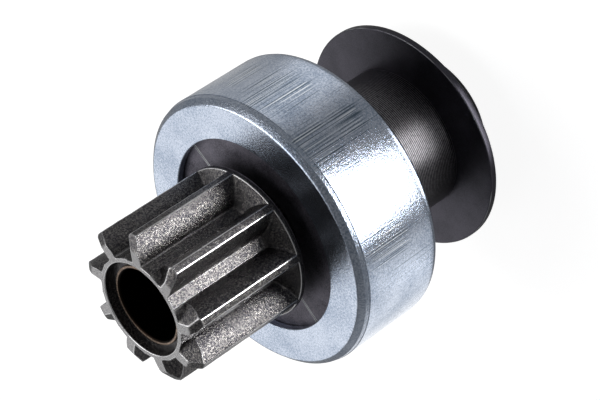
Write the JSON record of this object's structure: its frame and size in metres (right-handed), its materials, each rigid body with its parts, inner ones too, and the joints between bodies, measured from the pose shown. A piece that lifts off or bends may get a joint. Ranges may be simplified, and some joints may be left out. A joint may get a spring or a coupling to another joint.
{
  "type": "starter drive",
  "caption": "Starter drive with a toothed pinion, a plated roller clutch, a splined sleeve and a fork flange, for cranking a combustion engine.",
  "frame": {"origin": "centre of the sleeve's rear end face, on the shaft axis", "axes": "+Z along the armature shaft towards the pinion; the part stands on its sleeve's end; the picture looks along +Y and 33 degrees down"},
  "size_m": [0.057, 0.057, 0.0792],
  "materials": {
    "plated_steel": "zinc plated, satin",
    "pinion_steel": "forged and heat treated, grainy",
    "sleeve_steel": "turned and blackened",
    "flange_steel": "blackened, smooth",
    "washer_steel": "phosphated, matt",
    "spring_steel": "oiled",
    "roller_steel": "ground",
    "bronze": "sintered, satin"
  },
  "bodies": {
    "drive": {"drive_sleeve": "sleeve_steel", "fork_flange": "flange_steel", "snap_ring": "spring_steel", "clutch_shell": "plated_steel", "cover_washer": "washer_steel", "half_washer_1": "washer_steel", "half_washer_2": "washer_steel", "roller_spring_1": "spring_steel", "roller_spring_2": "spring_steel", "roller_spring_3": "spring_steel", "roller_spring_4": "spring_steel", "roller_spring_5": "spring_steel"},
    "pinion": {"pinion": "pinion_steel", "front_bush": "bronze", "rear_bush": "bronze"},
    "roller_1": {"roller_1": "roller_steel"},
    "plunger_1": {"roller_plunger_1": "roller_steel"},
    "roller_2": {"roller_2": "roller_steel"},
    "plunger_2": {"roller_plunger_2": "roller_steel"},
    "roller_3": {"roller_3": "roller_steel"},
    "plunger_3": {"roller_plunger_3": "roller_steel"},
    "roller_4": {"roller_4": "roller_steel"},
    "plunger_4": {"roller_plunger_4": "roller_steel"},
    "roller_5": {"roller_5": "roller_steel"},
    "plunger_5": {"roller_plunger_5": "roller_steel"}
  },
  "joints": [
    {"name": "pinion_spin", "type": "hinge", "parent": "drive", "child": "pinion", "pos_m": [0, 0, 0.0571], "axis": [0, 0, 1], "continuous": true},
    {"name": "roller_1_slide", "type": "slide", "parent": "drive", "child": "roller_1", "axis": [1, 0, 0], "range_m": [0, 0.0012], "stiffness_N_per_m": 600, "springref_m": -0.005, "deforming": ["roller_spring_1"]},
    {"name": "plunger_1_slide", "type": "slide", "parent": "drive", "child": "plunger_1", "axis": [1, 0, 0], "range_m": [0, 0.0012]},
    {"name": "roller_2_slide", "type": "slide", "parent": "drive", "child": "roller_2", "axis": [0.309, 0.9511, 0], "range_m": [0, 0.0012], "stiffness_N_per_m": 600, "springref_m": -0.005, "deforming": ["roller_spring_2"]},
    {"name": "plunger_2_slide", "type": "slide", "parent": "drive", "child": "plunger_2", "axis": [0.309, 0.9511, 0], "range_m": [0, 0.0012]},
    {"name": "roller_3_slide", "type": "slide", "parent": "drive", "child": "roller_3", "axis": [-0.809, 0.5878, 0], "range_m": [0, 0.0012], "stiffness_N_per_m": 600, "springref_m": -0.005, "deforming": ["roller_spring_3"]},
    {"name": "plunger_3_slide", "type": "slide", "parent": "drive", "child": "plunger_3", "axis": [-0.809, 0.5878, 0], "range_m": [0, 0.0012]},
    {"name": "roller_4_slide", "type": "slide", "parent": "drive", "child": "roller_4", "axis": [-0.809, -0.5878, 0], "range_m": [0, 0.0012], "stiffness_N_per_m": 600, "springref_m": -0.005, "deforming": ["roller_spring_4"]},
    {"name": "plunger_4_slide", "type": "slide", "parent": "drive", "child": "plunger_4", "axis": [-0.809, -0.5878, 0], "range_m": [0, 0.0012]},
    {"name": "roller_5_slide", "type": "slide", "parent": "drive", "child": "roller_5", "axis": [0.309, -0.9511, 0], "range_m": [0, 0.0012], "stiffness_N_per_m": 600, "springref_m": -0.005, "deforming": ["roller_spring_5"]},
    {"name": "plunger_5_slide", "type": "slide", "parent": "drive", "child": "plunger_5", "axis": [0.309, -0.9511, 0], "range_m": [0, 0.0012]}
  ],
  "couplings": [
    {"joint": "plunger_1_slide", "follows": "roller_1_slide", "ratio": 1},
    {"joint": "plunger_2_slide", "follows": "roller_2_slide", "ratio": 1},
    {"joint": "plunger_3_slide", "follows": "roller_3_slide", "ratio": 1},
    {"joint": "plunger_4_slide", "follows": "roller_4_slide", "ratio": 1},
    {"joint": "plunger_5_slide", "follows": "roller_5_slide", "ratio": 1}
  ]
}
